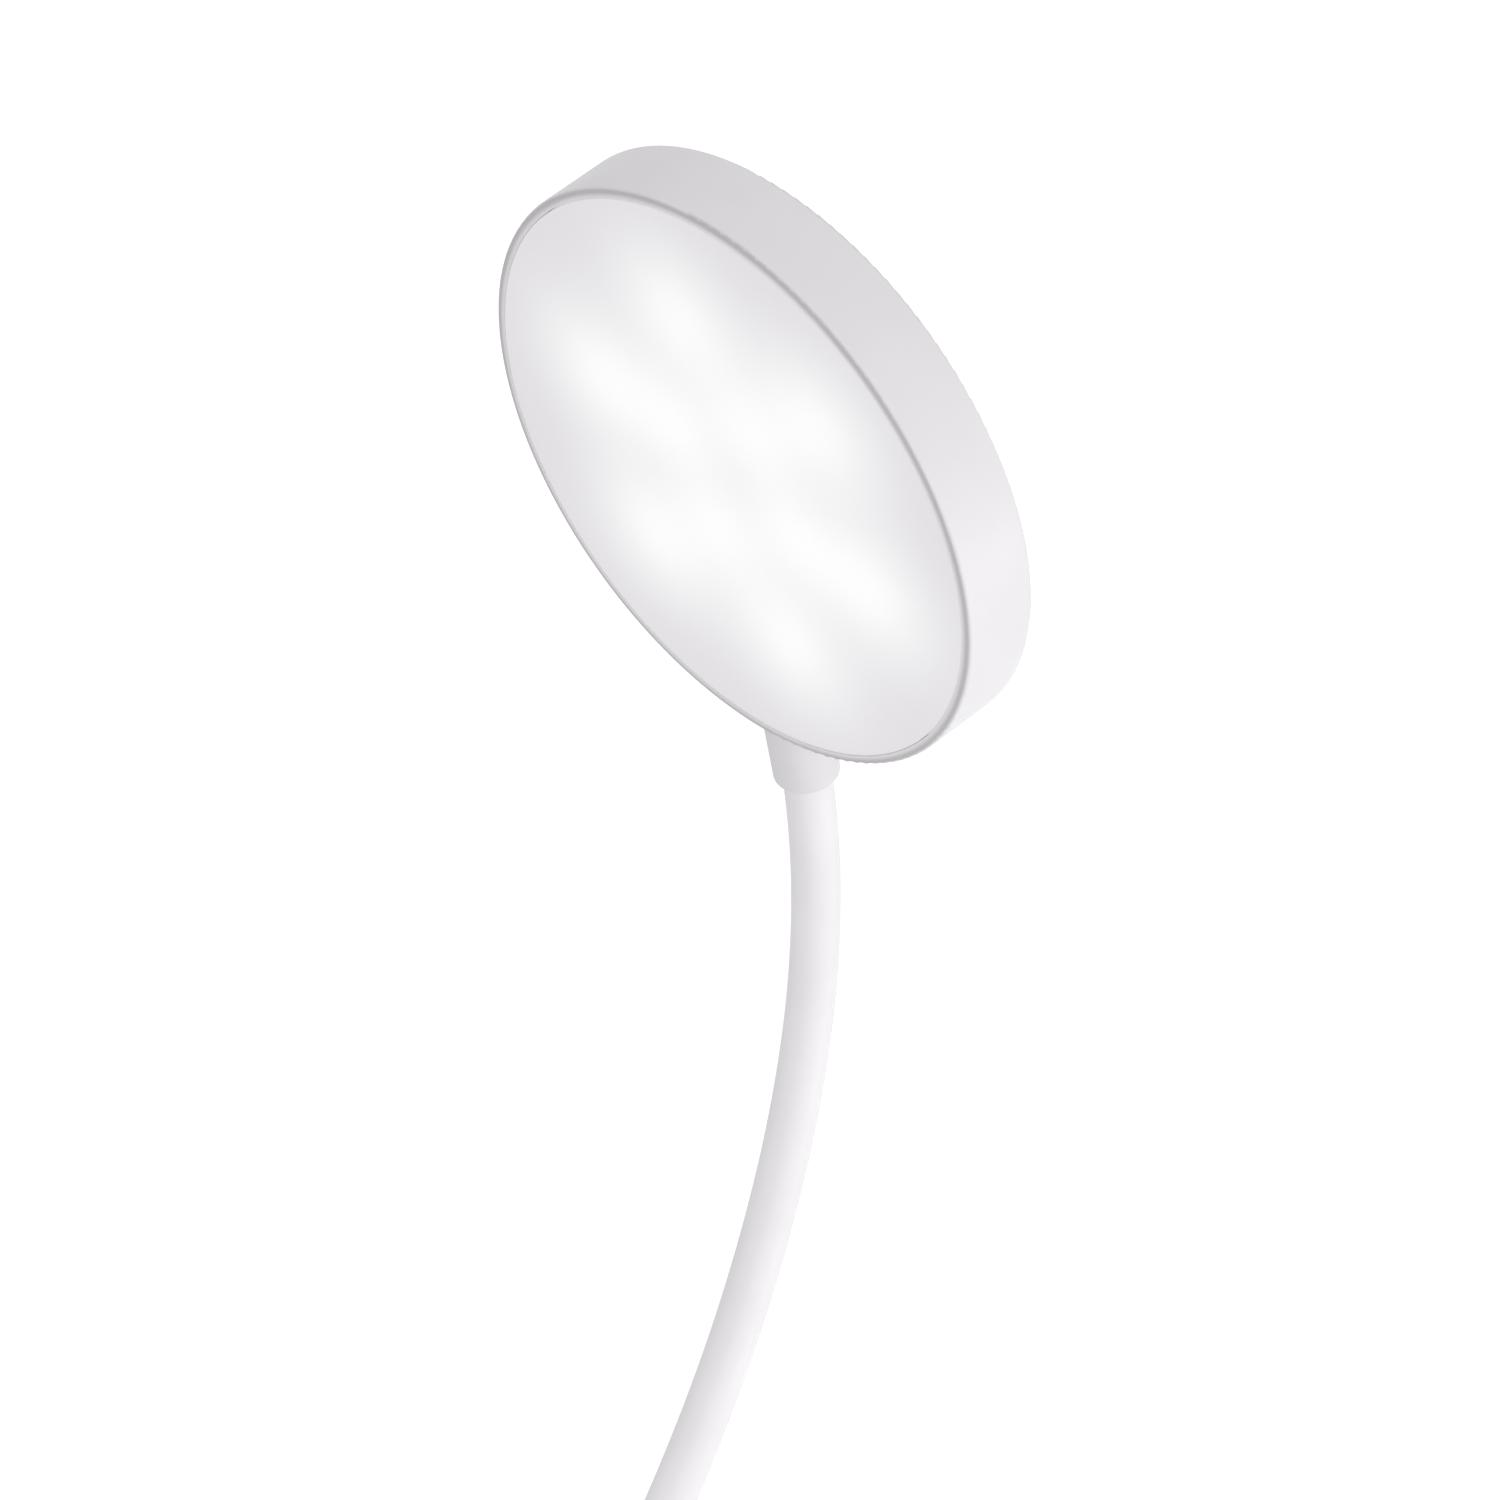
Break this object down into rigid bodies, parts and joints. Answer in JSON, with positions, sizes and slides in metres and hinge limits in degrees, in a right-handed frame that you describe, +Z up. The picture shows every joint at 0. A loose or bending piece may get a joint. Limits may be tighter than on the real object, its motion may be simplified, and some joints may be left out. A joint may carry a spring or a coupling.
{
  "type": "examination lamp",
  "caption": "Clamp-on examination lamp: a round flat head with an opal diffuser on a white gooseneck arm, rising from a swivelling base on a table clamp.",
  "frame": {"origin": "on the face of the clamp's upper jaw pad, where it rests on the table top, below the swivel's axis", "axes": "+Z up along the swivel's axis, -Y the way the lamp's face looks at rest, +X to the right of someone who looks along +Y"},
  "size_m": [0.168, 0.1599, 0.7916],
  "materials": {
    "shell_white": "satin moulded, fine texture",
    "sleeve_white": "smooth flexible sheath, satin",
    "opal": "opal diffuser, satin",
    "wound_steel": "interlocked windings",
    "turned_brass": "turned",
    "bright_steel": "zinc plated",
    "sink_aluminium": "die-cast, bead blasted",
    "board_white": "white solder mask",
    "led_phosphor": "phosphor lens",
    "grip_rubber": "fine grained",
    "clamp_paint": "powder coat, white",
    "knob_grey": "moulded, fine texture",
    "button_grey": "soft touch",
    "nylon": "natural nylon",
    "board_green": "green solder mask",
    "component_black": "moulded",
    "lead_red": "insulated wire"
  },
  "bodies": {
    "clamp": {"clamp_frame": "clamp_paint", "jaw_pad": "grip_rubber"},
    "clamp_pad": {"pressure_pad": "bright_steel", "pad_facing": "grip_rubber"},
    "clamp_spindle": {"spindle": "bright_steel", "spindle_knob": "knob_grey"},
    "lock_tip": {"lock_tip": "nylon"},
    "lock_screw": {"lock_screw": "knob_grey"},
    "base": {"spigot": "bright_steel", "swivel_washer": "nylon", "spigot_nut": "bright_steel", "base_plate": "shell_white", "base_screws": "bright_steel", "base_housing": "shell_white", "driver_board": "board_green", "driver_components": "component_black", "dc_inlet": "component_black", "base_lead": "lead_red", "base_collar": "shell_white", "base_fitting": "turned_brass", "base_fitting_nut": "turned_brass", "base_grub_screw": "bright_steel", "arm_sleeve_00": "sleeve_white", "arm_core_00": "wound_steel"},
    "button": {"dimmer_button": "button_grey"},
    "seg_01": {"arm_sleeve_01": "sleeve_white", "arm_core_01": "wound_steel"},
    "seg_02": {"arm_sleeve_02": "sleeve_white", "arm_core_02": "wound_steel"},
    "seg_03": {"arm_sleeve_03": "sleeve_white", "arm_core_03": "wound_steel"},
    "seg_04": {"arm_sleeve_04": "sleeve_white", "arm_core_04": "wound_steel"},
    "seg_05": {"arm_sleeve_05": "sleeve_white", "arm_core_05": "wound_steel"},
    "seg_06": {"arm_sleeve_06": "sleeve_white", "arm_core_06": "wound_steel"},
    "seg_07": {"arm_sleeve_07": "sleeve_white", "arm_core_07": "wound_steel"},
    "seg_08": {"arm_sleeve_08": "sleeve_white", "arm_core_08": "wound_steel"},
    "seg_09": {"arm_sleeve_09": "sleeve_white", "arm_core_09": "wound_steel"},
    "head": {"arm_sleeve_10": "sleeve_white", "arm_core_10": "wound_steel", "head_fitting": "turned_brass", "head_fitting_nut": "turned_brass", "head_collar": "shell_white", "head_grub_screw": "bright_steel", "head_housing": "shell_white", "back_cover": "shell_white", "head_screws": "bright_steel", "heat_sink": "sink_aluminium", "led_board": "board_white", "led_emitters": "led_phosphor", "diffuser_gasket": "grip_rubber", "diffuser": "opal", "head_lead": "lead_red"}
  },
  "joints": [
    {"name": "base_swivel", "type": "hinge", "parent": "clamp", "child": "base", "pos_m": [0, 0, 0.033], "axis": [0, 0, 1], "range_deg": [-170, 170]},
    {"name": "bend_01", "type": "hinge", "parent": "base", "child": "seg_01", "pos_m": [0, 0, 0.1248], "axis": [1, 0, 0], "range_deg": [-20, 20]},
    {"name": "bend_02", "type": "hinge", "parent": "seg_01", "child": "seg_02", "pos_m": [0, 0.00671, 0.16626], "axis": [0, 0.9712, -0.2383], "range_deg": [-20, 20]},
    {"name": "bend_03", "type": "hinge", "parent": "seg_02", "child": "seg_03", "pos_m": [0, 0.01996, 0.20612], "axis": [1, 0, 0], "range_deg": [-20, 20]},
    {"name": "bend_04", "type": "hinge", "parent": "seg_03", "child": "seg_04", "pos_m": [0, 0.0394, 0.24334], "axis": [1, 0, 0], "range_deg": [-20, 20]},
    {"name": "bend_05", "type": "hinge", "parent": "seg_04", "child": "seg_05", "pos_m": [0, 0.06454, 0.27699], "axis": [0, 0.8326, -0.5539], "range_deg": [-20, 20]},
    {"name": "bend_06", "type": "hinge", "parent": "seg_05", "child": "seg_06", "pos_m": [0, 0.08586, 0.31317], "axis": [1, 0, 0], "range_deg": [-20, 20]},
    {"name": "bend_07", "type": "hinge", "parent": "seg_06", "child": "seg_07", "pos_m": [0, 0.10272, 0.35164], "axis": [1, 0, 0], "range_deg": [-20, 20]},
    {"name": "bend_08", "type": "hinge", "parent": "seg_07", "child": "seg_08", "pos_m": [0, 0.11489, 0.39184], "axis": [0, 0.975, -0.2221], "range_deg": [-20, 20]},
    {"name": "bend_09", "type": "hinge", "parent": "seg_08", "child": "seg_09", "pos_m": [0, 0.12133, 0.43334], "axis": [1, 0, 0], "range_deg": [-20, 20]},
    {"name": "bend_10", "type": "hinge", "parent": "seg_09", "child": "head", "pos_m": [0, 0.12113, 0.47534], "axis": [1, 0, 0], "range_deg": [-20, 20]},
    {"name": "pad_travel", "type": "slide", "parent": "clamp", "child": "clamp_pad", "axis": [0, 0, 1], "range_m": [-0.0055, 0.022]},
    {"name": "spindle_turn", "type": "hinge", "parent": "clamp_pad", "child": "clamp_spindle", "pos_m": [0, -0.006, -0.04], "axis": [0, 0, 1], "range_deg": [-661, 2641]},
    {"name": "lock_travel", "type": "slide", "parent": "clamp", "child": "lock_tip", "axis": [1, 0, 0], "range_m": [0, 0.0015]},
    {"name": "lock_turn", "type": "hinge", "parent": "lock_tip", "child": "lock_screw", "pos_m": [0.0115, 0, 0.022], "axis": [1, 0, 0], "range_deg": [0, 541]},
    {"name": "button_press", "type": "slide", "parent": "base", "child": "button", "axis": [0, 1, 0], "range_m": [0, 0.0012], "stiffness_N_per_m": 800, "springref_m": -0.001}
  ],
  "couplings": [
    {"joint": "spindle_turn", "follows": "pad_travel", "rad_per_m": 2094.4},
    {"joint": "lock_turn", "follows": "lock_travel", "rad_per_m": 6283.2}
  ]
}
